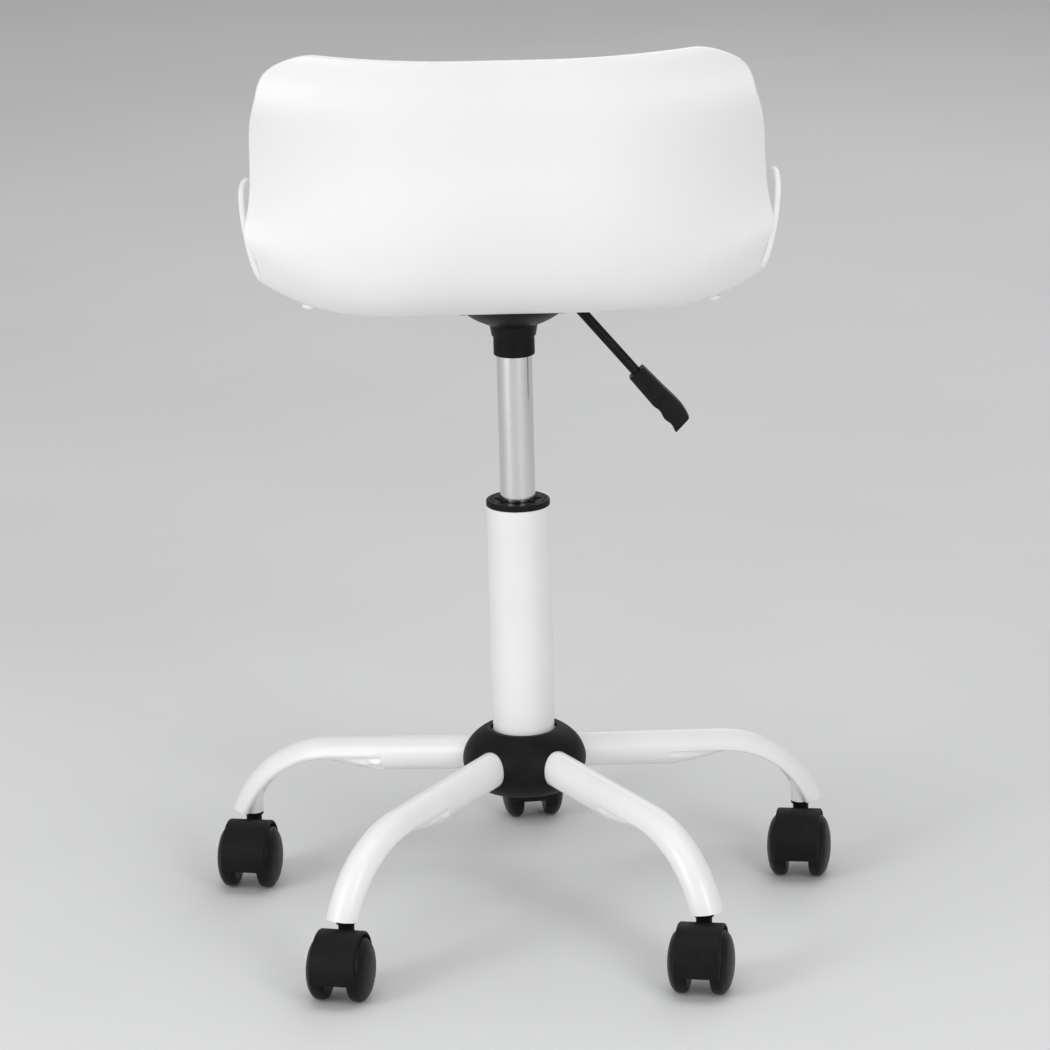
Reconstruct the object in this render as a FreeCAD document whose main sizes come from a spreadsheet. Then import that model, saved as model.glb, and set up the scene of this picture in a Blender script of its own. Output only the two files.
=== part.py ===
import FreeCAD, Part
import math
import os
import Sketcher

# Pedicure stool: a one-piece bucket seat on a gas lift and a five-leg swivel-caster base.
# Millimetres, +Z up, origin on the floor under the column; the sitter faces -Y.

doc = FreeCAD.newDocument("pedicure_stool")
sheet = doc.addObject("Spreadsheet::Sheet", "Sizes")
V = FreeCAD.Vector
used_rows = []
pieces = []


# ---------------------------------------------------------------- sizes

def size(name, value):
    """Puts one named size in the sheet; a formula is text that starts with '='."""
    row = len(used_rows) + 1
    used_rows.append(name)
    sheet.set("A%d" % row, name)
    sheet.set("B%d" % row, str(value))
    sheet.setAlias("B%d" % row, name)


def mm(name):
    """Reads a size back as a plain number."""
    return float(sheet.get(name))


# casters: 50 mm twin wheels under a hood, on a plain swivel stem
size("wheel_radius", 25)
size("wheel_inner", 9)
size("wheel_outer", 26)
size("wheel_tread_edge", 18.5)
size("trail", 18.7)
size("hood_radius", 30)
size("hood_wall", 2)
size("hood_half_width", 18)
size("hood_floor_gap", 21)
size("web_low", 15)
size("web_half_width", 8.5)
size("axle_radius", 3)
size("neck_radius", 6.3)
size("neck_top", 55.2)
size("pin_radius", 4)
size("pin_low", 30)
size("stem_radius", 5.5)
size("collar_radius", 7.9)
size("socket_low", 57.8)
size("socket_radius", 8)
size("socket_length", 20)
size("stem_grip", "=socket_low + 17")

# base: five bent tubes welded to a hub sleeve
size("caster_circle", 235.1)
size("leg_radius", 14)
size("leg_wall", 2)
size("leg_axis_height", 129.2)
size("leg_slope", 5.5)
size("leg_straight", 166)
size("leg_bend", 85)
size("leg_end_slope", 66.5)
size("leg_tip", 13)
size("leg_press_start", 118)
size("leg_cut_height", 58.5)
size("leg_cut_tilt", 10)
size("hub_radius", 28.5)
size("hub_low", 102)
size("hub_high", 145)
size("cover_radius", 49.3)
size("cover_half_height", 33)
size("cover_middle", 123.8)
size("cover_wall", 2.4)
size("cover_low", 101.3)
size("cover_high", 150)
size("cover_hole", 26.4)

# column: 50 mm tapered tube with a 28 mm gas cylinder
size("tube_radius", 25)
size("tube_wall", 2)
size("tube_low", 98)
size("tube_top", 334.7)
size("taper_start", 191)
size("taper_rate", 0.0125)
size("tube_low_radius", "=tube_radius - (taper_start - tube_low) * taper_rate")
size("plate_thick", 3)
size("rod_hole", 6)
size("ring_thick", 4.5)
size("slot_circle", 21)
size("slot_half", 2.6)
size("bush_length", 60)
size("cylinder_radius", 14)
size("cylinder_wall", 1.6)
size("cylinder_low", 230)
size("cylinder_top", 487)
size("head_taper_start", 458)
size("cylinder_top_radius", "=cylinder_radius - (cylinder_top - head_taper_start) * taper_rate")
size("rod_radius", 5)
size("ball_radius", 2)
size("ball_circle", 10)
size("race_thick", 1.5)
size("race_low", "=tube_low + plate_thick")
size("ball_middle", "=race_low + race_thick + ball_radius")
size("race_high", "=ball_middle + ball_radius")
size("shoulder_low", "=race_high + race_thick")
size("rubber_low", "=shoulder_low + 2.5")
size("rubber_high", "=rubber_low + 8")
size("piston_low", 244)
size("piston_high", 256)
size("clip_high", "=tube_low - 0.2")

# seat fixing: taper socket, round dish, plate, lever
size("collar_low", 457.4)
size("collar_high", 472.8)
size("collar_outer", 16.25)
size("socket_bore_low", 459)
size("neck_low_radius", 17.5)
size("neck_high_radius", 19.2)
size("dish_low", 482.4)
size("taper_socket_top", 489)
size("dish_sphere", 63)
size("dish_wall", 2)
size("plate_low", 502.3)
size("plate_high", 504.8)
size("plate_half", 52)
size("bolt_place", 39)
size("bolt_radius", 3)
size("bolt_head", 4.9)
size("insert_radius", 4.5)
size("insert_high", 511.8)
size("boss_radius", 8)
size("lever_height", 496)
size("lever_radius", 4)
size("lever_pivot", -25)
size("lever_knee", -49)
size("lever_drop", 50)
size("lever_reach", 132)
size("grip_length", 57)
size("valve_radius", 3.5)
size("valve_top", 491.95)

# seat shell: underside line, then fold, then a leaning back
size("shell_low", 509)
size("shell_wall", 4.5)
size("seat_front", -200)
size("front_drop", 11)
size("seat_flat_front", -120)
size("fold_start", 69)
size("fold_radius", 91)
size("back_lean", 8)
size("back_length", 139.8)
size("back_half_width", 190.5)
size("back_flat", 26)
size("back_wrap", 42)
size("top_corner", 51)
size("cap_side", 155)
size("cap_back", 74)
size("cap_radius", 6.4)
doc.recompute()


# ---------------------------------------------------------------- small tools

def finish(piece, label):
    """Names a finished sub-part and remembers it for the export."""
    piece.Label = label
    pieces.append(piece)
    return piece


def with_sheet(text):
    """Turns 'tube_radius - 2' into an expression that reads the sheet."""
    words = []
    for word in text.split(" "):
        bare = word.strip("()")
        words.append(word.replace(bare, "Sizes." + bare) if bare in used_rows else word)
    return " ".join(words)


def new_body(label):
    body = doc.addObject("PartDesign::Body", label)
    body.AllowCompound = True
    return finish(body, label)


def origin_plane(body, role):
    for feature in body.Origin.OriginFeatures:
        if feature.Role == role:
            return feature


def new_sketch(body, role, name):
    sketch = body.newObject("Sketcher::SketchObject", name)
    sketch.AttachmentSupport = (origin_plane(body, role), [""])
    sketch.MapMode = "FlatFace"
    return sketch


def hold(sketch, kind, geometry, point, text):
    """Holds one coordinate of a sketch point to a sheet expression."""
    number = sketch.addConstraint(Sketcher.Constraint(kind, -1, 1, geometry, point, 1.0))
    sketch.setExpression("Constraints[%d]" % number, with_sheet(text))


def outline(sketch, corners):
    """Closed polygon whose corners are pairs of sheet expressions."""
    count = len(corners)
    ring = []
    for i in range(count):
        turn = 2 * math.pi * i / count
        ring.append(V(60 + 20 * math.cos(turn), 60 + 20 * math.sin(turn), 0))
    first = sketch.GeometryCount
    for i in range(count):
        sketch.addGeometry(Part.LineSegment(ring[i], ring[(i + 1) % count]), False)
    for i in range(count):
        follower = first + (i + 1) % count
        sketch.addConstraint(Sketcher.Constraint("Coincident", first + i, 2, follower, 1))
    for i, (across, up) in enumerate(corners):
        hold(sketch, "DistanceX", first + i, 1, across)
        hold(sketch, "DistanceY", first + i, 1, up)


def disc(sketch, across, up, radius):
    """Circle with centre and radius from the sheet."""
    circle = Part.Circle(V(30, 30, 0), V(0, 0, 1), 5)
    number = sketch.addGeometry(circle, False)
    hold(sketch, "DistanceX", number, 3, across)
    hold(sketch, "DistanceY", number, 3, up)
    held = sketch.addConstraint(Sketcher.Constraint("Radius", number, 5))
    sketch.setExpression("Constraints[%d]" % held, with_sheet(radius))


def spin(body, corners, role="XZ_Plane", axis="V_Axis", name="Turned"):
    """Full revolution of a polygon about a sketch axis."""
    sketch = new_sketch(body, role, name + "Sketch")
    outline(sketch, corners)
    turned = body.newObject("PartDesign::Revolution", name)
    turned.Profile = sketch
    turned.ReferenceAxis = (sketch, [axis])
    turned.Angle = 360
    sketch.Visibility = False
    return turned


def pad(body, sketch, length, name="Pad", both=False, back=False):
    solid = body.newObject("PartDesign::Pad", name)
    solid.Profile = sketch
    solid.setExpression("Length", with_sheet(length))
    solid.Midplane = both
    solid.Reversed = back
    return solid


def pocket(body, sketch, length, name="Pocket", both=False, back=False):
    hollow = body.newObject("PartDesign::Pocket", name)
    hollow.Profile = sketch
    hollow.setExpression("Length", with_sheet(length))
    hollow.Midplane = both
    hollow.Reversed = back
    return hollow


def round_rings(body, rings, radius, axis="Z", name="Round"):
    """Fillets the circular edges that match (radius, place along the axis)."""
    doc.recompute()
    base = body.Tip
    names = []
    for i, edge in enumerate(base.Shape.Edges):
        if edge.Curve.TypeId != "Part::GeomCircle":
            continue
        centre = edge.Curve.Center
        place = centre.z if axis == "Z" else centre.x
        for wanted, where in rings:
            if abs(edge.Curve.Radius - wanted) < 0.03 and abs(place - where) < 0.03:
                names.append("Edge%d" % (i + 1))
    fillet = body.newObject("PartDesign::Fillet", name)
    fillet.Base = (base, names)
    fillet.Radius = radius
    return fillet


def around(body, feature, count, name="Around"):
    """Repeats a feature round the vertical axis and makes it the tip."""
    pattern = body.newObject("PartDesign::PolarPattern", name)
    pattern.Originals = [feature]
    pattern.Axis = (feature.Profile[0], ["N_Axis"])
    pattern.Angle = 360
    pattern.Occurrences = count
    body.Tip = pattern
    return pattern


def turned_piece(label, corners, rings=(), radius=0.5):
    """A turned sub-part about the column axis, with some edges rounded."""
    body = new_body(label)
    spin(body, corners)
    if rings:
        round_rings(body, rings, radius)
    return body


def put(piece, place, turn=0.0):
    """Sets a sub-part down at a place, turned about the vertical."""
    piece.Placement = FreeCAD.Placement(place, FreeCAD.Rotation(V(0, 0, 1), turn))


def raw_piece(label, shape):
    """A sub-part whose shape is built straight from the sheet sizes."""
    piece = doc.addObject("Part::Feature", label)
    piece.Shape = shape
    return finish(piece, label)


def curve(points, closed=False):
    spline = Part.BSplineCurve()
    spline.interpolate(points, PeriodicFlag=closed)
    return spline.toShape()


# ---------------------------------------------------------------- where the legs point

# turn about the vertical from +Y, and the rest heading of the caster under each leg
CORNERS = [
    ("front", 180.0, 7.8),
    ("right", 108.0, -7.4),
    ("left", -108.0, -9.8),
    ("rear_right", 36.0, -9.5),
    ("rear_left", -36.0, -13.3),
]


def corner_place(turn, height=0.0):
    """Point on the caster circle at a turn measured from +Y toward -X."""
    reach = mm("caster_circle")
    angle = math.radians(turn)
    return V(-reach * math.sin(angle), reach * math.cos(angle), height)


# ---------------------------------------------------------------- base

def leg_middle(distance):
    """Leg centre line: (reach, height, slope in degrees) at a distance along it from the axis."""
    slope = math.radians(mm("leg_slope"))
    steep = math.radians(mm("leg_end_slope"))
    bend = mm("leg_bend")
    straight = mm("leg_straight") / math.cos(slope)
    arc = bend * (steep - slope)
    if distance <= straight:
        return distance * math.cos(slope), mm("leg_axis_height") - distance * math.sin(slope), slope
    turn = min(distance - straight, arc) / bend
    rest = max(distance - straight - arc, 0.0)
    reach = mm("leg_straight") + bend * (math.sin(slope + turn) - math.sin(slope))
    drop = mm("leg_straight") * math.tan(slope) + bend * (math.cos(slope) - math.cos(slope + turn))
    reach += rest * math.cos(slope + turn)
    drop += rest * math.sin(slope + turn)
    return reach, mm("leg_axis_height") - drop, slope + turn


def leg_section(distance, pressed):
    """Closed section of the tube; the inner side folds into the outer one as it is pressed."""
    reach, height, slope = leg_middle(distance)
    outward = V(0, math.sin(slope), math.cos(slope))
    centre = V(0, reach, height)
    radius = mm("leg_radius")
    double_wall = 2 * mm("leg_wall")
    points = []
    for i in range(9):
        angle = math.pi * i / 8
        points.append((radius * math.cos(angle), radius * math.sin(angle)))
    inner = radius - double_wall * pressed
    depth = -radius + (2 * radius - double_wall) * pressed
    lip = 0.5 * double_wall * pressed
    points.append((-(radius + inner) / 2, -lip))
    for i in range(1, 8):
        angle = math.pi * i / 8
        points.append((-inner * math.cos(angle), depth * math.sin(angle)))
    points.append(((radius + inner) / 2, -lip))
    if pressed == 0.0:
        points = []
        for i in range(18):
            angle = 2 * math.pi * i / 18
            points.append((radius * math.cos(angle), radius * math.sin(angle)))
    ring = [centre + V(side, 0, 0) + outward * out for side, out in points]
    return Part.Wire(curve(ring, closed=True))


def leg_shape():
    """One leg pointing along +Y: round tube at the hub, pressed trough at the caster."""
    start = mm("hub_radius") - 4
    slope = math.radians(mm("leg_slope"))
    straight = mm("leg_straight") / math.cos(slope)
    arc = mm("leg_bend") * math.radians(mm("leg_end_slope") - mm("leg_slope"))
    end = straight + arc + mm("leg_tip")
    press = mm("leg_press_start")
    stations = [start, press]
    round_tube = Part.makeLoft([leg_section(s, 0.0) for s in stations], True, True)
    bent = []
    steps = 12
    for i in range(steps + 1):
        along = i / steps
        distance = press + (end - press) * along
        share = min(along / 0.72, 1.0)
        pressed = share * share * (3 - 2 * share)
        bent.append(leg_section(distance, max(pressed, 0.0)))
    trough = Part.makeLoft(bent, True, False)
    leg = round_tube.fuse(trough)
    reach, height, _ = leg_middle(start)
    along = V(0, math.cos(slope), -math.sin(slope))
    bore = Part.makeCylinder(mm("leg_radius") - mm("leg_wall"), press - start - 2, V(0, reach, height), along)
    hub = Part.makeCylinder(mm("hub_radius"), 200, V(0, 0, 20))
    socket = Part.makeCylinder(mm("socket_radius"), mm("socket_length"),
                               V(0, mm("caster_circle"), mm("socket_low")))
    below = Part.makeBox(80, 80, 60, V(-40, mm("caster_circle") - 40, mm("leg_cut_height") - 60))
    below.rotate(V(0, mm("caster_circle"), mm("leg_cut_height")), V(1, 0, 0), mm("leg_cut_tilt"))
    return leg.cut([bore, hub, socket, below])


def build_legs():
    shape = leg_shape()
    for corner, turn, _ in CORNERS:
        leg = raw_piece("leg_" + corner, shape.copy())
        put(leg, V(0, 0, 0), turn)


def build_sockets():
    for corner, turn, _ in CORNERS:
        body = new_body("socket_" + corner)
        spin(body, [
            ("stem_radius", "socket_low"),
            ("socket_radius", "socket_low"),
            ("socket_radius", "socket_low + socket_length"),
            ("0", "socket_low + socket_length"),
            ("0", "stem_grip + 0.5"),
            ("stem_radius", "stem_grip + 0.5"),
        ])
        round_rings(body, [(mm("socket_radius"), mm("socket_low") + mm("socket_length"))], 1.5)
        put(body, corner_place(turn))


def build_hub():
    turned_piece("hub_sleeve", [
        ("tube_low_radius + (hub_low - tube_low) * taper_rate", "hub_low"),
        ("hub_radius", "hub_low"),
        ("hub_radius", "hub_high"),
        ("tube_low_radius + (hub_high - tube_low) * taper_rate", "hub_high"),
    ], [(mm("hub_radius"), mm("hub_high"))], 1.0)


def ellipsoid(label, shrink):
    """Squashed sphere for the hub cover, smaller by a wall."""
    solid = doc.addObject("Part::Ellipsoid", label)
    solid.setExpression("Radius1", with_sheet("cover_half_height - %s" % shrink))
    solid.setExpression("Radius2", with_sheet("cover_radius - %s" % shrink))
    solid.setExpression("Radius3", with_sheet("cover_radius - %s" % shrink))
    solid.setExpression("Placement.Base.z", with_sheet("cover_middle"))
    return solid


def cylinder(label, radius, height, low):
    solid = doc.addObject("Part::Cylinder", label)
    solid.setExpression("Radius", with_sheet(radius))
    solid.setExpression("Height", with_sheet(height))
    solid.setExpression("Placement.Base.z", with_sheet(low))
    return solid


def leg_hole(number, turn):
    """Round opening in the hub cover that one leg passes through."""
    hole = doc.addObject("Part::Cylinder", "LegHole%d" % number)
    hole.setExpression("Radius", with_sheet("leg_radius + 0.4"))
    hole.Height = 60
    swing = FreeCAD.Rotation(V(0, 0, 1), turn)
    lean = FreeCAD.Rotation(V(1, 0, 0), -90 - mm("leg_slope"))
    hole.Placement = FreeCAD.Placement(V(0, 0, mm("leg_axis_height")), swing.multiply(lean))
    return hole


def build_cover():
    skin = doc.addObject("Part::Cut", "CoverSkin")
    skin.Base = ellipsoid("CoverOuter", "0")
    skin.Tool = ellipsoid("CoverInner", "cover_wall")
    band = doc.addObject("Part::MultiCommon", "CoverBand")
    band.Shapes = [skin, cylinder("CoverBandTool", "cover_radius + 5", "cover_high - cover_low", "cover_low")]
    openings = doc.addObject("Part::MultiFuse", "CoverOpenings")
    holes = [cylinder("CoverHole", "cover_hole", "60", "cover_middle")]
    for number, (_, turn, _) in enumerate(CORNERS):
        holes.append(leg_hole(number, turn))
    openings.Shapes = holes
    cover = doc.addObject("Part::Cut", "hub_cover")
    cover.Base = band
    cover.Tool = openings
    finish(cover, "hub_cover")


# ---------------------------------------------------------------- column

def build_column():
    turned_piece("column_tube", [
        ("rod_hole", "tube_low"),
        ("tube_low_radius", "tube_low"),
        ("tube_radius", "taper_start"),
        ("tube_radius", "tube_top"),
        ("tube_radius - tube_wall", "tube_top"),
        ("tube_radius - tube_wall", "taper_start"),
        ("tube_low_radius - tube_wall", "tube_low + plate_thick"),
        ("rod_hole", "tube_low + plate_thick"),
    ], [(mm("tube_radius"), mm("tube_top"))], 0.6)


def build_guide_bush():
    """Black guide ring on the tube with its sleeve inside; scallops at its bore, slots at its rim."""
    body = new_body("guide_bush")
    spin(body, [
        ("cylinder_radius + 0.05", "tube_top - bush_length"),
        ("tube_radius - tube_wall", "tube_top - bush_length"),
        ("tube_radius - tube_wall", "tube_top"),
        ("tube_radius + 0.3", "tube_top"),
        ("tube_radius + 0.3", "tube_top + ring_thick"),
        ("cylinder_radius + 2.2", "tube_top + ring_thick"),
        ("cylinder_radius + 0.05", "tube_top + ring_thick - 1.6"),
    ])
    round_rings(body, [(mm("tube_radius") + 0.3, mm("tube_top") + mm("ring_thick"))], 1.4)
    doc.recompute()
    sketch = new_sketch(body, "XY_Plane", "ScallopSketch")
    sketch.setExpression("AttachmentOffset.Base.z", with_sheet("tube_top + ring_thick"))
    disc(sketch, "cylinder_radius + 2.4", "0", "2.6")
    scallop = pocket(body, sketch, "2.4", "Scallop")
    around(body, scallop, 8, "Scallops")
    doc.recompute()
    groove = new_sketch(body, "XY_Plane", "SlotSketch")
    groove.setExpression("AttachmentOffset.Base.z", with_sheet("tube_top + ring_thick"))
    outline(groove, [
        ("slot_circle", "-1 * slot_half"), ("slot_circle + 0.9", "-1 * slot_half"),
        ("slot_circle + 0.9", "slot_half"), ("slot_circle", "slot_half"),
    ])
    slot = pocket(body, groove, "1", "Slot")
    around(body, slot, 16, "Slots")


def build_bearing():
    turned_piece("bearing_lower_race", [
        ("rod_hole", "race_low"),
        ("ball_circle + 4", "race_low"),
        ("ball_circle + 4", "race_low + race_thick"),
        ("rod_hole", "race_low + race_thick"),
    ])
    turned_piece("bearing_upper_race", [
        ("rod_radius", "race_high"),
        ("ball_circle + 4", "race_high"),
        ("ball_circle + 4", "race_high + race_thick"),
        ("rod_radius", "race_high + race_thick"),
    ])
    balls = []
    for i in range(12):
        angle = 2 * math.pi * i / 12
        reach = mm("ball_circle")
        middle = V(reach * math.cos(angle), reach * math.sin(angle), mm("ball_middle"))
        balls.append(Part.makeSphere(mm("ball_radius"), middle))
    raw_piece("bearing_balls", Part.makeCompound(balls))


def build_rod():
    turned_piece("piston_rod", [
        ("0", "clip_high - 5"),
        ("rod_radius - 0.6", "clip_high - 5"),
        ("rod_radius", "clip_high - 4.4"),
        ("rod_radius", "clip_high - 2"),
        ("rod_radius - 1", "clip_high - 2"),
        ("rod_radius - 1", "clip_high"),
        ("rod_radius", "clip_high"),
        ("rod_radius", "shoulder_low"),
        ("rod_radius + 3", "shoulder_low"),
        ("rod_radius + 3", "rubber_low"),
        ("rod_radius", "rubber_low"),
        ("rod_radius", "piston_low"),
        ("cylinder_radius - cylinder_wall - 0.1", "piston_low"),
        ("cylinder_radius - cylinder_wall - 0.1", "piston_high"),
        ("0", "piston_high"),
    ])
    turned_piece("rod_clip", [
        ("rod_radius - 1", "clip_high - 2"),
        ("rod_radius + 4", "clip_high - 2"),
        ("rod_radius + 4", "clip_high"),
        ("rod_radius - 1", "clip_high"),
    ])
    turned_piece("bump_rubber", [
        ("rod_radius", "rubber_low"),
        ("cylinder_radius - 1", "rubber_low"),
        ("cylinder_radius - 1", "rubber_high"),
        ("rod_radius", "rubber_high"),
    ], [(mm("cylinder_radius") - 1, mm("rubber_high"))], 2.0)


def build_cylinder():
    turned_piece("gas_cylinder", [
        ("rod_radius + 0.05", "cylinder_low"),
        ("cylinder_radius - 1", "cylinder_low"),
        ("cylinder_radius", "cylinder_low + 1"),
        ("cylinder_radius", "head_taper_start"),
        ("cylinder_top_radius", "cylinder_top"),
        ("valve_radius + 0.05", "cylinder_top"),
        ("valve_radius + 0.05", "cylinder_top - 19"),
        ("0", "cylinder_top - 19"),
        ("0", "cylinder_top - 27"),
        ("cylinder_radius - cylinder_wall", "cylinder_top - 27"),
        ("cylinder_radius - cylinder_wall", "cylinder_low + 12"),
        ("rod_radius + 0.05", "cylinder_low + 12"),
    ])
    turned_piece("valve_pin", [
        ("0", "cylinder_top - 16"),
        ("valve_radius", "cylinder_top - 16"),
        ("valve_radius", "valve_top - 1.5"),
        ("valve_radius - 1.5", "valve_top"),
        ("0", "valve_top"),
    ])


# ---------------------------------------------------------------- seat fixing

def build_taper_socket():
    turned_piece("taper_socket", [
        ("cylinder_radius - (socket_bore_low - head_taper_start) * taper_rate", "socket_bore_low"),
        ("collar_outer - 0.8", "socket_bore_low"),
        ("collar_outer - 0.8", "collar_high"),
        ("neck_low_radius", "collar_high"),
        ("neck_high_radius", "dish_low"),
        ("neck_low_radius", "dish_low + 1"),
        ("neck_low_radius", "taper_socket_top"),
        ("cylinder_radius - (taper_socket_top - head_taper_start) * taper_rate", "taper_socket_top"),
    ], [(mm("neck_low_radius"), mm("collar_high"))], 0.5)
    turned_piece("dust_collar", [
        ("cylinder_radius + 0.1", "collar_low"),
        ("collar_outer", "collar_low"),
        ("collar_outer", "collar_high"),
        ("collar_outer - 0.8", "collar_high"),
        ("collar_outer - 0.8", "socket_bore_low"),
        ("cylinder_radius + 0.1", "socket_bore_low"),
    ], [(mm("collar_outer"), mm("collar_low"))], 0.7)


def build_dish():
    """Round pressed dish under the seat plate, with a slot for the lever."""
    centre = mm("dish_low") + math.sqrt(mm("dish_sphere") ** 2 - mm("neck_high_radius") ** 2)
    outer = Part.makeSphere(mm("dish_sphere"), V(0, 0, centre))
    inner = Part.makeSphere(mm("dish_sphere") - mm("dish_wall"), V(0, 0, centre))
    low = mm("dish_low") - 6
    slab = Part.makeCylinder(70, mm("plate_low") - low, V(0, 0, low))
    bore = Part.makeCylinder(mm("neck_low_radius") + 0.02, 40, V(0, 0, low - 5))
    recess = Part.makeCylinder(mm("neck_high_radius") + 0.05, 7.1, V(0, 0, low))
    slot = Part.makeBox(60, 2 * mm("lever_radius") + 3, 20,
                        V(-90, -mm("lever_radius") - 1.5, mm("lever_height") - mm("lever_radius") - 1.5))
    raw_piece("seat_dish", outer.common(slab).cut([inner, bore, recess, slot]))


def build_plate():
    body = new_body("seat_plate")
    sketch = new_sketch(body, "XY_Plane", "PlateSketch")
    sketch.setExpression("AttachmentOffset.Base.z", with_sheet("plate_low"))
    cut = "plate_half - 12"
    outline(sketch, [
        ("plate_half", "-1 * ( %s )" % cut), ("plate_half", cut),
        (cut, "plate_half"), ("-1 * ( %s )" % cut, "plate_half"),
        ("-1 * plate_half", cut), ("-1 * plate_half", "-1 * ( %s )" % cut),
        ("-1 * ( %s )" % cut, "-1 * plate_half"), (cut, "-1 * plate_half"),
    ])
    pad(body, sketch, "plate_high - plate_low")
    doc.recompute()
    holes = new_sketch(body, "XY_Plane", "HoleSketch")
    holes.setExpression("AttachmentOffset.Base.z", with_sheet("plate_high"))
    disc(holes, "bolt_place", "bolt_place", "bolt_radius + 0.2")
    drilled = pocket(body, holes, "10", "BoltHole")
    around(body, drilled, 4)


def ring_of_four(label, corners):
    """Four equal turned fasteners at the bolt places, as one group."""
    body = new_body(label)
    for i, (side, back) in enumerate([(1, 1), (-1, 1), (-1, -1), (1, -1)]):
        sketch = new_sketch(body, "XZ_Plane", "Fastener%d" % i)
        sketch.setExpression("AttachmentOffset.Base.z", with_sheet("%d * bolt_place" % -back))
        sketch.setExpression("AttachmentOffset.Base.x", with_sheet("%d * bolt_place" % side))
        outline(sketch, corners)
        turned = body.newObject("PartDesign::Revolution", "Turned%d" % i)
        turned.Profile = sketch
        turned.ReferenceAxis = (sketch, ["V_Axis"])
        turned.Angle = 360
    return body


def build_fasteners():
    ring_of_four("plate_bolts", [
        ("0", "plate_low - 3"),
        ("bolt_head - 1.6", "plate_low - 3"),
        ("bolt_head", "plate_low - 1.2"),
        ("bolt_head", "plate_low"),
        ("bolt_radius", "plate_low"),
        ("bolt_radius", "insert_high - 0.8"),
        ("0", "insert_high - 0.8"),
    ])
    ring_of_four("seat_inserts", [
        ("bolt_radius", "plate_high + 0.1"),
        ("insert_radius", "plate_high + 0.1"),
        ("insert_radius", "insert_high"),
        ("bolt_radius", "insert_high"),
    ])


# ---------------------------------------------------------------- lever

def build_lever():
    height = mm("lever_height")
    radius = mm("lever_radius")
    drop = math.radians(mm("lever_drop"))
    bend = 12.0
    inner_end = V(6, 0, height)
    knee = V(mm("lever_knee"), 0, height)
    down = V(-math.cos(drop), 0, -math.sin(drop))
    setback = bend * math.tan(drop / 2)
    tip = knee + down * ((mm("lever_reach") + mm("lever_knee")) / math.cos(drop))
    before = knee + V(setback, 0, 0)
    after = knee + down * setback
    centre = before + V(0, 0, -bend)
    middle = centre + V(-math.sin(drop / 2), 0, math.cos(drop / 2)) * bend
    path = Part.Wire([
        Part.makeLine(inner_end, before),
        Part.Arc(before, middle, after).toShape(),
        Part.makeLine(after, tip - down * 8),
    ])
    profile = Part.Wire(Part.makeCircle(radius, inner_end, V(1, 0, 0)))
    rod = path.makePipeShell([profile], True, False)
    pivot = Part.makeCylinder(2.05, 40, V(mm("lever_pivot"), -20, height), V(0, 1, 0))
    raw_piece("lever_rod", rod.cut(pivot))
    build_grip(tip, down)
    build_bracket()


def build_grip(tip, down):
    """Flat hand grip with finger notches on the side away from the seat."""
    length = mm("grip_length")
    start = tip - down * length
    side = V(-down.z, 0, down.x)
    if side.x > 0:
        side = side * -1
    half = 7.0
    outer = []
    for along, out in [(0, half), (0.12, half + 0.5), (0.45, half + 1.5), (0.8, half + 2.2), (0.97, half)]:
        outer.append(start + down * (along * length) + side * out)
    inner = []
    for i in range(25):
        along = 1 - i / 24.0
        wave = 0.0 if along < 0.5 else 1.3 * math.sin((along - 0.5) * 4 * math.pi) ** 2
        inner.append(start + down * (along * length) - side * (half + 1.2 * along - wave))
    edges = [
        curve(outer),
        Part.makeLine(outer[-1], inner[0]),
        curve(inner),
        Part.makeLine(inner[-1], outer[0]),
    ]
    face = Part.Face(Part.Wire(edges))
    block = face.extrude(V(0, 13, 0))
    block.translate(V(0, -6.5, 0))
    block = block.makeFillet(2.2, [e for e in block.Edges if e.Curve.TypeId == "Part::GeomBSplineCurve"])
    bore = Part.makeCylinder(mm("lever_radius"), length - 8, start, down)
    raw_piece("lever_grip", block.cut(bore))


def build_bracket():
    """U bracket under the plate that carries the lever's cross pin."""
    pivot = mm("lever_pivot")
    height = mm("lever_height")
    gap = mm("lever_radius") + 0.4
    cheeks = Part.makeBox(12, 2 * (gap + 2), mm("plate_low") - height + 6,
                          V(pivot - 6, -gap - 2, height - 6))
    room = Part.makeBox(14, 2 * gap, mm("plate_low") - height + 4.5,
                        V(pivot - 7, -gap, height - 6))
    pin_hole = Part.makeCylinder(2, 40, V(pivot, -20, height), V(0, 1, 0))
    raw_piece("lever_bracket", cheeks.cut([room, pin_hole]))
    pin = Part.makeCylinder(2, 2 * (gap + 3), V(pivot, -gap - 3, height), V(0, 1, 0))
    raw_piece("lever_pivot_pin", pin)


# ---------------------------------------------------------------- seat shell

def underside_line(zone, along):
    """Point (y, z) and turn of the outer surface's middle line in one of its zones."""
    lean = math.radians(90 - mm("back_lean"))
    radius = mm("fold_radius")
    if zone == "front":
        y = mm("seat_front") + (mm("seat_flat_front") - mm("seat_front")) * along
        fall = 1 - along
        z = mm("shell_low") - mm("front_drop") * fall * fall
        run = mm("seat_flat_front") - mm("seat_front")
        return y, z, math.atan(2 * mm("front_drop") * fall / run)
    if zone == "seat":
        y = mm("seat_flat_front") + (mm("fold_start") - mm("seat_flat_front")) * along
        return y, mm("shell_low"), 0.0
    turn = lean * min(along, 1.0) if zone == "fold" else lean
    y = mm("fold_start") + radius * math.sin(turn)
    z = mm("shell_low") + radius * (1 - math.cos(turn))
    if zone == "back":
        y += along * mm("back_length") * math.cos(lean)
        z += along * mm("back_length") * math.sin(lean)
    return y, z, turn


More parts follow.
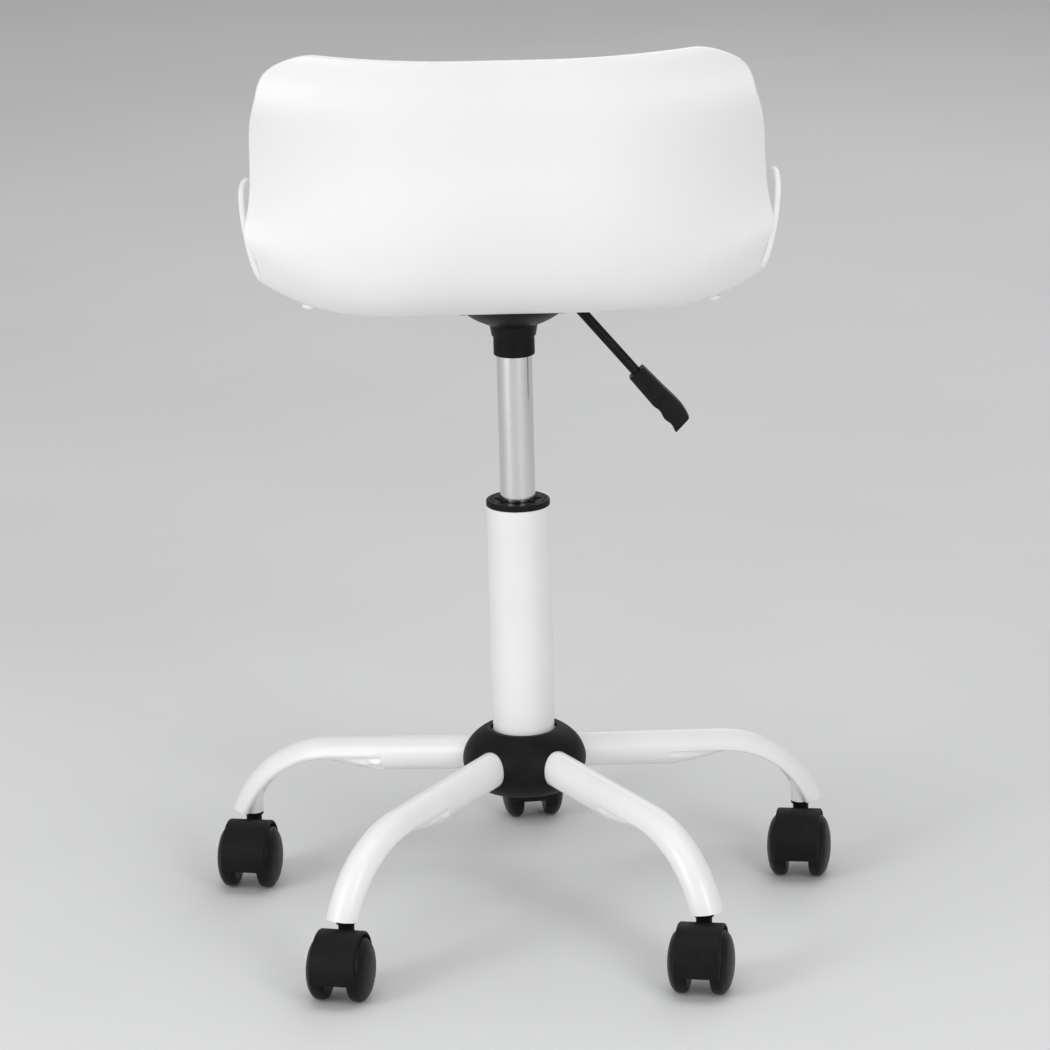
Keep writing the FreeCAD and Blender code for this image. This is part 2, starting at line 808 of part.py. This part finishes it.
def shell_section(zone, along, flat, half_width, rise):
    """Cross section of the shell: flat middle, then an arc up to the rim, one wall thick."""
    y, z, turn = underside_line(zone, along)
    origin = V(0, y, z)
    inward = V(0, -math.sin(turn), math.cos(turn))
    run = half_width - flat
    radius = (run * run + rise * rise) / (2 * rise)
    sweep = math.asin(min(run / radius, 1.0))
    wall = mm("shell_wall")
    outer = []
    inner = []
    for i in range(4):
        outer.append((flat * i / 4, 0.0))
        inner.append((flat * i / 4, wall))
    for i in range(11):
        angle = sweep * i / 10
        outer.append((flat + radius * math.sin(angle), radius * (1 - math.cos(angle))))
        thin = radius - wall
        inner.append((flat + thin * math.sin(angle), wall + thin * (1 - math.cos(angle))))
    def placed(side, points):
        return [origin + V(side * a, 0, 0) + inward * h for a, h in points]
    under = placed(-1, outer[::-1]) + placed(1, outer)[1:]
    above = placed(1, inner[::-1]) + placed(-1, inner)[1:]
    tip = (outer[-1][0] + inner[-1][0]) / 2, (outer[-1][1] + inner[-1][1]) / 2
    lip = (tip[0] + wall * 0.42 * math.cos(sweep), tip[1] + wall * 0.42 * math.sin(sweep))
    right_lip = placed(1, [lip])[0]
    left_lip = placed(-1, [lip])[0]
    return Part.Wire([
        curve(under),
        Part.Arc(under[-1], right_lip, above[0]).toShape(),
        curve(above),
        Part.Arc(above[-1], left_lip, under[0]).toShape(),
    ])


def shell_stations():
    """Named stations along the shell: zone, place in it, flat half, half width, rise of the rim."""
    stations = [
        ("front", 0.00, 90, 158, 12),
        ("front", 0.06, 96, 172, 16),
        ("front", 0.25, 104, 188, 26),
        ("front", 0.60, 110, 200, 38),
        ("seat", 0.00, 114, 206, 52),
        ("seat", 0.30, 116, 210, 70),
        ("seat", 0.60, 114, 206, 90),
        ("seat", 0.84, 111, 209, 77),
        ("fold", 0.08, 101, 194, 30),
        ("fold", 0.35, 80, 191, 35),
        ("fold", 0.65, 52, 200, 48),
        ("back", 0.00, 34, 199, 60),
        ("back", 0.35, 30, 195, 61),
    ]
    corner = mm("top_corner")
    length = mm("back_length")
    wide = mm("back_half_width")
    flat = mm("back_flat")
    for degrees in (0, 30, 55, 75, 90):
        angle = math.radians(degrees)
        half = wide - corner + corner * math.cos(angle)
        along = (length - corner + corner * math.sin(angle)) / length
        share = (half - flat) / (wide - flat)
        stations.append(("back", along, flat, half, mm("back_wrap") * share * share))
    return stations


def shell_shape():
    wires = [shell_section(*station) for station in shell_stations()]
    skin = Part.makeLoft(wires, True, False)
    bosses = []
    bores = []
    low = mm("plate_high")
    for side, back in [(1, 1), (-1, 1), (-1, -1), (1, -1)]:
        place = V(side * mm("bolt_place"), back * mm("bolt_place"), low)
        bosses.append(Part.makeCylinder(mm("boss_radius"), mm("shell_low") + 1 - low, place))
        bores.append(Part.makeCylinder(mm("insert_radius"), mm("insert_high") - low, place))
    shell = skin.fuse(bosses).cut(bores)
    return shell.removeSplitter()


def build_shell():
    shell = raw_piece("seat_shell", shell_shape())
    caps = []
    for side in (-1, 1):
        foot = V(side * mm("cap_side"), mm("cap_back"), 0)
        plumb = Part.makeLine(foot, foot + V(0, 0, mm("shell_low") + 60))
        skin = min(v.Point.z for v in shell.Shape.common(plumb).Vertexes)
        dome = Part.makeSphere(mm("cap_radius") + 1.6, foot + V(0, 0, skin + mm("cap_radius") - 2))
        column = Part.makeCylinder(mm("cap_radius"), 7, foot + V(0, 0, skin - 5))
        trimmed = dome.common(column).cut(shell.Shape)
        caps.append(min(trimmed.Solids, key=lambda solid: solid.CenterOfMass.z))
    raw_piece("underside_caps", Part.makeCompound(caps))


# ---------------------------------------------------------------- casters

def build_stem(corner, turn):
    body = new_body("stem_" + corner)
    spin(body, [
        ("0", "pin_low"),
        ("pin_radius", "pin_low"),
        ("pin_radius", "socket_low - 2.2"),
        ("collar_radius", "socket_low - 2.2"),
        ("collar_radius", "socket_low"),
        ("stem_radius", "socket_low"),
        ("stem_radius", "stem_grip - 1"),
        ("stem_radius - 1", "stem_grip"),
        ("0", "stem_grip"),
    ])
    put(body, corner_place(turn))


def build_hood(corner, turn, heading):
    """Hood, middle web and neck of one caster; its own axes: stem at 0, wheels at +Y."""
    body = new_body("hood_" + corner)
    outer = mm("hood_radius")
    centre_y = mm("trail")
    centre_z = mm("wheel_radius")
    low = math.asin((mm("hood_floor_gap") - centre_z) / outer)
    high = math.radians(158)
    sketch = new_sketch(body, "YZ_Plane", "HoodSketch")
    inner = outer - mm("hood_wall")
    middle = V(centre_y, centre_z, 0)
    first = sketch.addGeometry(Part.ArcOfCircle(Part.Circle(middle, V(0, 0, 1), outer), low, high), False)
    second = sketch.addGeometry(Part.ArcOfCircle(Part.Circle(middle, V(0, 0, 1), inner), low, high), False)
    def at(radius, angle):
        return middle + V(radius * math.cos(angle), radius * math.sin(angle), 0)
    foot = sketch.addGeometry(Part.LineSegment(at(inner, low), at(outer, low)), False)
    head = sketch.addGeometry(Part.LineSegment(at(inner, high), at(outer, high)), False)
    join = Sketcher.Constraint
    sketch.addConstraint([
        join("Coincident", foot, 1, second, 1), join("Coincident", foot, 2, first, 1),
        join("Coincident", head, 1, second, 2), join("Coincident", head, 2, first, 2),
        join("Coincident", second, 3, first, 3),
    ])
    hold(sketch, "DistanceX", first, 3, "trail")
    hold(sketch, "DistanceY", first, 3, "wheel_radius")
    for arc, text in ((first, "hood_radius"), (second, "hood_radius - hood_wall")):
        held = sketch.addConstraint(join("Radius", arc, 20))
        sketch.setExpression("Constraints[%d]" % held, with_sheet(text))
    hold(sketch, "DistanceY", first, 1, "hood_floor_gap")
    hold(sketch, "DistanceY", second, 1, "hood_floor_gap")
    pad(body, sketch, "2 * hood_half_width", "Hood", both=True)
    doc.recompute()
    web = new_sketch(body, "YZ_Plane", "WebSketch")
    outline(web, [
        ("-1 * neck_radius - 1", "pin_low - 6"),
        ("trail - 8", "web_low"),
        ("trail + 12", "web_low"),
        ("trail + 28.5", "wheel_radius - 4"),
        ("trail + 27.5", "wheel_radius + 9"),
        ("trail + 19", "wheel_radius + 22"),
        ("trail", "wheel_radius + 29"),
        ("-1 * neck_radius", "wheel_radius + 22"),
        ("-1 * neck_radius - 1", "wheel_radius + 12"),
    ])
    pad(body, web, "2 * web_half_width", "Web", both=True)
    doc.recompute()
    neck = new_sketch(body, "XY_Plane", "NeckSketch")
    neck.setExpression("AttachmentOffset.Base.z", with_sheet("pin_low + 8"))
    disc(neck, "0", "0", "neck_radius")
    pad(body, neck, "neck_top - pin_low - 8", "Neck")
    doc.recompute()
    bore = new_sketch(body, "XY_Plane", "BoreSketch")
    bore.setExpression("AttachmentOffset.Base.z", with_sheet("neck_top"))
    disc(bore, "0", "0", "pin_radius + 0.05")
    pocket(body, bore, "neck_top - pin_low + 0.5", "StemBore")
    doc.recompute()
    hole = new_sketch(body, "YZ_Plane", "AxleSketch")
    disc(hole, "trail", "wheel_radius", "axle_radius")
    pocket(body, hole, "60", "AxleHole", both=True)
    doc.recompute()
    soften(body, 1.6)
    place_caster_piece(body, turn, heading)


def soften(body, radius):
    """Rounds the two long curved outer edges of the hood."""
    base = body.Tip
    names = []
    for i, edge in enumerate(base.Shape.Edges):
        if edge.Curve.TypeId != "Part::GeomCircle":
            continue
        big = abs(edge.Curve.Radius - mm("hood_radius")) < 0.02
        rim = abs(abs(edge.Curve.Center.x) - mm("hood_half_width")) < 0.02
        if big and rim:
            names.append("Edge%d" % (i + 1))
    fillet = body.newObject("PartDesign::Fillet", "Soft")
    fillet.Base = (base, names)
    fillet.Radius = radius


def place_caster_piece(body, turn, heading):
    """Moves a piece built over the origin to its caster circle place and rest heading."""
    put(body, corner_place(turn), heading)


def build_axle(corner, turn, heading):
    body = new_body("axle_" + corner)
    sketch = new_sketch(body, "YZ_Plane", "AxleSketch")
    disc(sketch, "trail", "wheel_radius", "axle_radius")
    pad(body, sketch, "2 * ( wheel_outer - 8 )", "Axle", both=True)
    place_caster_piece(body, turn, heading)


def build_wheel(corner, turn, heading, hand, side):
    """One twin wheel: flat inner face, rounded tread, domed outer face and a blind axle bore."""
    body = new_body("wheel_%s_%s" % (corner, hand))
    sign = "" if side > 0 else "-1 * "
    sketch = new_sketch(body, "XY_Plane", "WheelSketch")
    sketch.setExpression("AttachmentOffset.Base.z", with_sheet("wheel_radius"))
    sketch.setExpression("AttachmentOffset.Base.y", with_sheet("trail"))
    outline(sketch, [
        (sign + "wheel_inner", "axle_radius + 0.05"),
        (sign + "wheel_inner", "wheel_radius"),
        (sign + "wheel_tread_edge", "wheel_radius"),
        (sign + "( wheel_outer - 3.4 )", "wheel_radius - 5"),
        (sign + "( wheel_outer - 0.8 )", "wheel_radius - 14"),
        (sign + "wheel_outer", "0"),
        (sign + "( wheel_outer - 7.5 )", "0"),
        (sign + "( wheel_outer - 7.5 )", "axle_radius + 0.05"),
    ])
    turned = body.newObject("PartDesign::Revolution", "Wheel")
    turned.Profile = sketch
    turned.ReferenceAxis = (sketch, ["H_Axis"])
    turned.Angle = 360
    radius = mm("wheel_radius")
    outer = mm("wheel_outer")
    round_rings(body, [(radius, side * mm("wheel_inner"))], 4.5, "X", "InnerRound")
    round_rings(body, [(radius, side * mm("wheel_tread_edge"))], 5, "X", "TreadRound")
    round_rings(body, [(radius - 5, side * (outer - 3.4))], 13, "X", "ShoulderRound")
    round_rings(body, [(radius - 14, side * (outer - 0.8))], 40, "X", "DomeRound")
    place_caster_piece(body, turn, heading)


def build_casters():
    for corner, turn, heading in CORNERS:
        build_stem(corner, turn)
        build_hood(corner, turn, heading)
        build_axle(corner, turn, heading)
        build_wheel(corner, turn, heading, "left", 1)
        build_wheel(corner, turn, heading, "right", -1)


# ---------------------------------------------------------------- build, look over, write

def look_over():
    """Stops when any object failed or any sub-part is empty or broken."""
    for item in doc.Objects:
        if "Invalid" in item.State or "Error" in item.State:
            raise RuntimeError("%s failed: %s" % (item.Label, item.State))
    for piece in pieces:
        if piece.Shape.isNull() or not piece.Shape.isValid() or piece.Shape.Volume <= 0:
            raise RuntimeError("%s has a bad shape" % piece.Label)


def write_pieces():
    os.makedirs("parts", exist_ok=True)
    for piece in pieces:
        piece.Shape.exportStep("parts/%s.step" % piece.Label)
        box = piece.Shape.BoundBox
        print("%-24s solids %d  volume %9.0f  x %.1f..%.1f y %.1f..%.1f z %.1f..%.1f" % (
            piece.Label, len(piece.Shape.Solids), piece.Shape.Volume,
            box.XMin, box.XMax, box.YMin, box.YMax, box.ZMin, box.ZMax))


build_legs()
build_sockets()
build_hub()
build_cover()
build_column()
build_guide_bush()
build_bearing()
build_rod()
build_cylinder()
build_taper_socket()
build_dish()
build_plate()
build_fasteners()
build_lever()
build_shell()
build_casters()
doc.recompute()
look_over()
write_pieces()
print(len(pieces), "sub-parts")
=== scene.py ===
"""Looks of a pedicure stool: white bucket seat on a gas lift, pressed five-leg base on hooded casters.

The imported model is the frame. This script gives every node its material and adds the studio round it.
Lengths are in metres, angles in degrees.
"""

import math

import bpy
from mathutils import Matrix, Vector


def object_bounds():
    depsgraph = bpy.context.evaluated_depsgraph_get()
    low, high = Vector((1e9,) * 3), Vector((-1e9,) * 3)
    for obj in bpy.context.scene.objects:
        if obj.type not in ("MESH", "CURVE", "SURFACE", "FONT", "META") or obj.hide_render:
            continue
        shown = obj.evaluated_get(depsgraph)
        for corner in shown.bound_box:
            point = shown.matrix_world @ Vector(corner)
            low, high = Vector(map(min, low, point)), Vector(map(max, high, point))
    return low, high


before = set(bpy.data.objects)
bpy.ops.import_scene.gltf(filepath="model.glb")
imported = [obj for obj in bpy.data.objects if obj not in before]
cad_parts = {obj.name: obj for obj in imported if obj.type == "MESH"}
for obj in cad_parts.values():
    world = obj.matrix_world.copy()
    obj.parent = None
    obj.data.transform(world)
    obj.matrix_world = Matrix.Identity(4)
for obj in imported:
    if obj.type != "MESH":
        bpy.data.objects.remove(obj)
cad_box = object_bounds()


# ---------------------------------------------------------------- node helpers

def set_sockets(shader, values):
    """Sets several of a node's own sockets by name."""
    for name, value in values.items():
        shader.inputs[name].default_value = value


def new_material(name, sockets):
    """Principled material; the sockets given are the same all over the surface."""
    material = bpy.data.materials.new(name)
    material.use_nodes = True
    tree = material.node_tree
    shader = tree.nodes["Principled BSDF"]
    set_sockets(shader, sockets)
    return material, tree, shader


def object_point(tree, stretch=(1, 1, 1)):
    """Object-space position, scaled along each axis."""
    place = tree.nodes.new("ShaderNodeTexCoord")
    scale = tree.nodes.new("ShaderNodeMapping")
    scale.inputs["Scale"].default_value = stretch
    tree.links.new(place.outputs["Object"], scale.inputs["Vector"])
    return scale.outputs["Vector"]


def grain(tree, size, stretch=(1, 1, 1), detail=4.0, roughness=0.55):
    """Noise whose grains are about `size` across."""
    noise = tree.nodes.new("ShaderNodeTexNoise")
    noise.inputs["Scale"].default_value = 1 / size
    noise.inputs["Detail"].default_value = detail
    noise.inputs["Roughness"].default_value = roughness
    tree.links.new(object_point(tree, stretch), noise.inputs["Vector"])
    return noise.outputs["Fac"]


def pebbles(tree, size):
    """Rounded cells about `size` across, as in spark-eroded moulds."""
    cells = tree.nodes.new("ShaderNodeTexVoronoi")
    cells.feature = "SMOOTH_F1"
    cells.inputs["Scale"].default_value = 1 / size
    tree.links.new(object_point(tree), cells.inputs["Vector"])
    return cells.outputs["Distance"]


def spread(tree, source, low, high, start=0.3, end=0.7):
    """Maps the source's start..end onto low..high."""
    ramp = tree.nodes.new("ShaderNodeMapRange")
    ramp.inputs["From Min"].default_value = start
    ramp.inputs["From Max"].default_value = end
    ramp.inputs["To Min"].default_value = low
    ramp.inputs["To Max"].default_value = high
    tree.links.new(source, ramp.inputs["Value"])
    return ramp.outputs["Result"]


def blend_colours(tree, source, first, second, start=0.3, end=0.7):
    """Colour that goes from first to second as the source goes from start to end."""
    ramp = tree.nodes.new("ShaderNodeValToRGB")
    ramp.color_ramp.elements[0].position = start
    ramp.color_ramp.elements[0].color = (*first, 1)
    ramp.color_ramp.elements[1].position = end
    ramp.color_ramp.elements[1].color = (*second, 1)
    tree.links.new(source, ramp.inputs["Fac"])
    return ramp.outputs["Color"]


def relief(tree, shader, layers):
    """Stacks bump layers (source, height in metres) into the shader's normal."""
    normal = None
    for source, height in layers:
        bump = tree.nodes.new("ShaderNodeBump")
        bump.inputs["Strength"].default_value = 1.0
        bump.inputs["Distance"].default_value = height
        tree.links.new(source, bump.inputs["Height"])
        if normal is not None:
            tree.links.new(normal, bump.inputs["Normal"])
        normal = bump.outputs["Normal"]
    tree.links.new(normal, shader.inputs["Normal"])


def finish_surface(tree, shader, colour, roughness, layers):
    """Joins colour, roughness and bump layers to the shader."""
    tree.links.new(colour, shader.inputs["Base Color"])
    tree.links.new(roughness, shader.inputs["Roughness"])
    relief(tree, shader, layers)


# ---------------------------------------------------------------- materials

def white_paint():
    """Stoved white powder coat: soft gloss over a fine orange peel."""
    gloss = {"Specular IOR Level": 0.5, "Coat Weight": 0.25, "Coat Roughness": 0.18}
    material, tree, shader = new_material("powder_coat_white", gloss)
    cloud = grain(tree, 0.06, detail=3.0)
    peel = grain(tree, 0.0022, detail=2.0, roughness=0.4)
    speck = grain(tree, 0.0006, detail=1.0)
    colour = blend_colours(tree, cloud, (0.86, 0.86, 0.855), (0.90, 0.90, 0.895))
    finish_surface(tree, shader, colour, spread(tree, cloud, 0.34, 0.42),
                   [(peel, 0.00006), (speck, 0.00001)])
    return material


def shell_plastic():
    """Moulded white polypropylene with a fine satin grain."""
    satin_body = {"Specular IOR Level": 0.45, "Subsurface Weight": 0.08, "Subsurface Scale": 0.004}
    material, tree, shader = new_material("shell_polypropylene_white", satin_body)
    shader.inputs["Subsurface Radius"].default_value = (1.0, 0.95, 0.9)
    flow = grain(tree, 0.16, stretch=(1, 1, 0.5), detail=2.0)
    satin = pebbles(tree, 0.0009)
    wave = grain(tree, 0.035, detail=1.0)
    colour = blend_colours(tree, flow, (0.87, 0.87, 0.868), (0.905, 0.905, 0.90))
    finish_surface(tree, shader, colour, spread(tree, flow, 0.36, 0.44),
                   [(satin, 0.000025), (wave, 0.00008)])
    return material


SMUDGE_SHARE = 0.12


def cylinder_steel():
    """Ground steel of the gas lift: fine rings round it, long soft lengthwise bands of painted
    reflection in the colour, and faint smudges.
    """
    material, tree, shader = new_material("ground_steel", {"Metallic": 1.0, "Anisotropic": 0.35})
    rings = grain(tree, 0.004, stretch=(1, 1, 40), detail=6.0, roughness=0.7)
    # Lengthwise colour bands: painted reflection of the softboxes, not a tone the steel has.
    painted_reflection_streaks = grain(tree, 0.012, stretch=(1, 1, 0.08), detail=3.0)
    smudge = grain(tree, 0.02, stretch=(1, 1, 0.6), detail=5.0)
    # Blend of the painted reflection bands with real smudges; the smudges take SMUDGE_SHARE of it.
    reflection_and_smudge = tree.nodes.new("ShaderNodeMix")
    reflection_and_smudge.data_type = "FLOAT"
    reflection_and_smudge.inputs["Factor"].default_value = SMUDGE_SHARE
    reflection_input, float_b = reflection_and_smudge.inputs[2], reflection_and_smudge.inputs[3]
    tree.links.new(painted_reflection_streaks, reflection_input)
    tree.links.new(smudge, float_b)
    colour = blend_colours(tree, reflection_and_smudge.outputs[0], (0.68, 0.68, 0.68), (0.76, 0.76, 0.755), 0.34, 0.64)
    finish_surface(tree, shader, colour, spread(tree, smudge, 0.20, 0.17),
                   [(rings, 0.000004)])
    return material


def black_plastic():
    """Black nylon moulding with an eroded, slightly silky grain."""
    material, tree, shader = new_material("moulded_black", {"Specular IOR Level": 0.14})
    cloud = grain(tree, 0.015, detail=5.0)
    skin = pebbles(tree, 0.0007)
    colour = blend_colours(tree, cloud, (0.005, 0.005, 0.0053), (0.009, 0.009, 0.0093))
    finish_surface(tree, shader, colour, spread(tree, cloud, 0.44, 0.56),
                   [(skin, 0.00005)])
    return material


def wheel_nylon():
    """Smoother black nylon of the wheels, dulled and scuffed by the floor."""
    material, tree, shader = new_material("wheel_nylon_black", {"Specular IOR Level": 0.16})
    cloud = grain(tree, 0.008, detail=6.0)
    scuff = grain(tree, 0.002, detail=4.0, roughness=0.7)
    colour = blend_colours(tree, cloud, (0.0045, 0.0045, 0.0048), (0.009, 0.009, 0.0093))
    finish_surface(tree, shader, colour, spread(tree, scuff, 0.32, 0.48),
                   [(scuff, 0.00002)])
    return material


def grip_plastic():
    """Black lever grip, a touch glossier, with a faint moulded texture."""
    material, tree, shader = new_material("grip_black", {"Specular IOR Level": 0.16})
    cloud = grain(tree, 0.01, detail=4.0)
    skin = pebbles(tree, 0.0005)
    colour = blend_colours(tree, cloud, (0.006, 0.006, 0.0063), (0.011, 0.011, 0.0113))
    finish_surface(tree, shader, colour, spread(tree, cloud, 0.34, 0.46),
                   [(skin, 0.00003)])
    return material


def black_paint():
    """Black powder coat on the pressed dish, the taper socket and the lever rod."""
    gloss = {"Specular IOR Level": 0.12, "Coat Weight": 0.06, "Coat Roughness": 0.25}
    material, tree, shader = new_material("powder_coat_black", gloss)
    cloud = grain(tree, 0.02, detail=4.0)
    peel = grain(tree, 0.0018, detail=2.0, roughness=0.4)
    colour = blend_colours(tree, cloud, (0.005, 0.005, 0.0053), (0.009, 0.009, 0.0093))
    finish_surface(tree, shader, colour, spread(tree, cloud, 0.36, 0.46),
                   [(peel, 0.00006)])
    return material


def zinc_steel():
    """Bright zinc plate with a faint warm and cool play."""
    material, tree, shader = new_material("zinc_plate", {"Metallic": 1.0})
    patches = grain(tree, 0.003, detail=4.0)
    scratches = grain(tree, 0.0006, stretch=(1, 1, 8), detail=3.0)
    colour = blend_colours(tree, patches, (0.55, 0.56, 0.60), (0.74, 0.72, 0.66))
    finish_surface(tree, shader, colour, spread(tree, scratches, 0.24, 0.38),
                   [(scratches, 0.000008)])
    return material


def black_rubber():
    """Matt rubber of the bump stop on the piston rod's shoulder."""
    material, tree, shader = new_material("rubber_black", {"Specular IOR Level": 0.3})
    cloud = grain(tree, 0.006, detail=4.0)
    colour = blend_colours(tree, cloud, (0.012, 0.012, 0.012), (0.022, 0.021, 0.021))
    finish_surface(tree, shader, colour, spread(tree, cloud, 0.65, 0.8),
                   [(cloud, 0.00004)])
    return material


def insert_brass():
    """Turned and knurled brass of the inserts moulded into the shell."""
    material, tree, shader = new_material("brass", {"Metallic": 1.0})
    cloud = grain(tree, 0.004, detail=4.0)
    knurl = grain(tree, 0.0008, stretch=(1, 1, 3), detail=1.0)
    colour = blend_colours(tree, cloud, (0.62, 0.42, 0.16), (0.74, 0.55, 0.25))
    finish_surface(tree, shader, colour, spread(tree, cloud, 0.28, 0.4),
                   [(knurl, 0.00003)])
    return material


def dress_nodes():
    """Gives each CAD node the material made for its slot."""
    makers = [white_paint, shell_plastic, cylinder_steel, black_plastic, wheel_nylon, grip_plastic,
              black_paint, zinc_steel, black_rubber, insert_brass]
    finishes = {maker.__name__: maker() for maker in makers}
    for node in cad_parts.values():
        for place in node.material_slots:
            place.material = finishes[place.material.name]


# ---------------------------------------------------------------- studio

FLOOR_SIZE = 40.0
WORLD_LIGHT = 0.42
# turn, rise, distance, width, height, power
SOFTBOXES = {
    "key_left": (-50, 18, 2.6, 0.9, 1.8, 23),
    "key_right": (30, 22, 3.2, 0.8, 1.8, 26),
    "overhead": (10, 80, 2.8, 2.4, 2.4, 26),
    "back_fill": (165, 30, 3.5, 2.0, 1.6, 14),
}


def floor_material():
    """Plain pale grey floor with a very fine tooth."""
    material, tree, shader = new_material("studio_floor", {"Specular IOR Level": 0.2})
    cloud = grain(tree, 0.5, detail=3.0)
    tooth = grain(tree, 0.003, detail=2.0)
    colour = blend_colours(tree, cloud, (0.74, 0.745, 0.75), (0.77, 0.775, 0.78))
    finish_surface(tree, shader, colour, spread(tree, cloud, 0.7, 0.8), [(tooth, 0.00005)])
    return material


def lay_floor():
    """One large flat square at floor level."""
    mesh = bpy.data.meshes.new("floor")
    half = FLOOR_SIZE / 2
    corners = [(-half, -half, 0), (half, -half, 0), (half, half, 0), (-half, half, 0)]
    mesh.from_pydata(corners, [], [(0, 1, 2, 3)])
    mesh.materials.append(floor_material())
    floor = bpy.data.objects.new("floor", mesh)
    bpy.context.scene.collection.objects.link(floor)


def softbox(name, turn, rise, distance, width, height, power):
    """Area light aimed at the stool's middle; turn is measured from +Y toward -X."""
    around = math.radians(turn)
    up = math.radians(rise)
    away = Vector((-math.sin(around) * math.cos(up), math.cos(around) * math.cos(up), math.sin(up)))
    lamp = bpy.data.lights.new(name, "AREA")
    lamp.shape = "RECTANGLE"
    lamp.size = width
    lamp.size_y = height
    lamp.energy = power
    light = bpy.data.objects.new(name, lamp)
    middle = (cad_box[0] + cad_box[1]) / 2
    light.location = middle + away * distance
    light.rotation_mode = "QUATERNION"
    light.rotation_quaternion = away.to_track_quat("Z", "Y")
    bpy.context.scene.collection.objects.link(light)


def light_studio():
    """Four softboxes and an even white world."""
    for name, setting in SOFTBOXES.items():
        softbox(name, *setting)
    world = bpy.data.worlds.new("studio")
    world.use_nodes = True
    set_sockets(world.node_tree.nodes["Background"], {"Color": (1, 1, 1, 1), "Strength": WORLD_LIGHT})
    bpy.context.scene.world = world


CAMERA_DISTANCE = 4.1844
CAMERA_HEIGHT = 1.5313
CAMERA_TURN = 0.86
CAMERA_PAN = 0.791
CAMERA_TILT = 16.182
CAMERA_ROLL = -1.445
LENS = 188.59


def place_camera():
    """Long lens behind the stool, well above the seat, looking down at it and rolled a little."""
    turn = math.radians(CAMERA_TURN)
    pan = math.radians(CAMERA_PAN)
    tilt = math.radians(CAMERA_TILT)
    roll = math.radians(CAMERA_ROLL)
    forward = Vector((math.sin(pan) * math.cos(tilt), -math.cos(pan) * math.cos(tilt), -math.sin(tilt)))
    level = forward.cross(Vector((0, 0, 1))).normalized()
    upright = level.cross(forward)
    right = level * math.cos(roll) + upright * math.sin(roll)
    up = upright * math.cos(roll) - level * math.sin(roll)
    place = Vector((-CAMERA_DISTANCE * math.sin(turn), CAMERA_DISTANCE * math.cos(turn), CAMERA_HEIGHT))
    lens = bpy.data.cameras.new("camera")
    lens.sensor_width = 36.0
    lens.lens = LENS
    camera = bpy.data.objects.new("camera", lens)
    camera.matrix_world = Matrix.Translation(place) @ Matrix((right, up, -forward)).transposed().to_4x4()
    bpy.context.scene.collection.objects.link(camera)
    bpy.context.scene.camera = camera


dress_nodes()
lay_floor()
light_studio()
place_camera()
bpy.context.scene.view_settings.view_transform = "Standard"
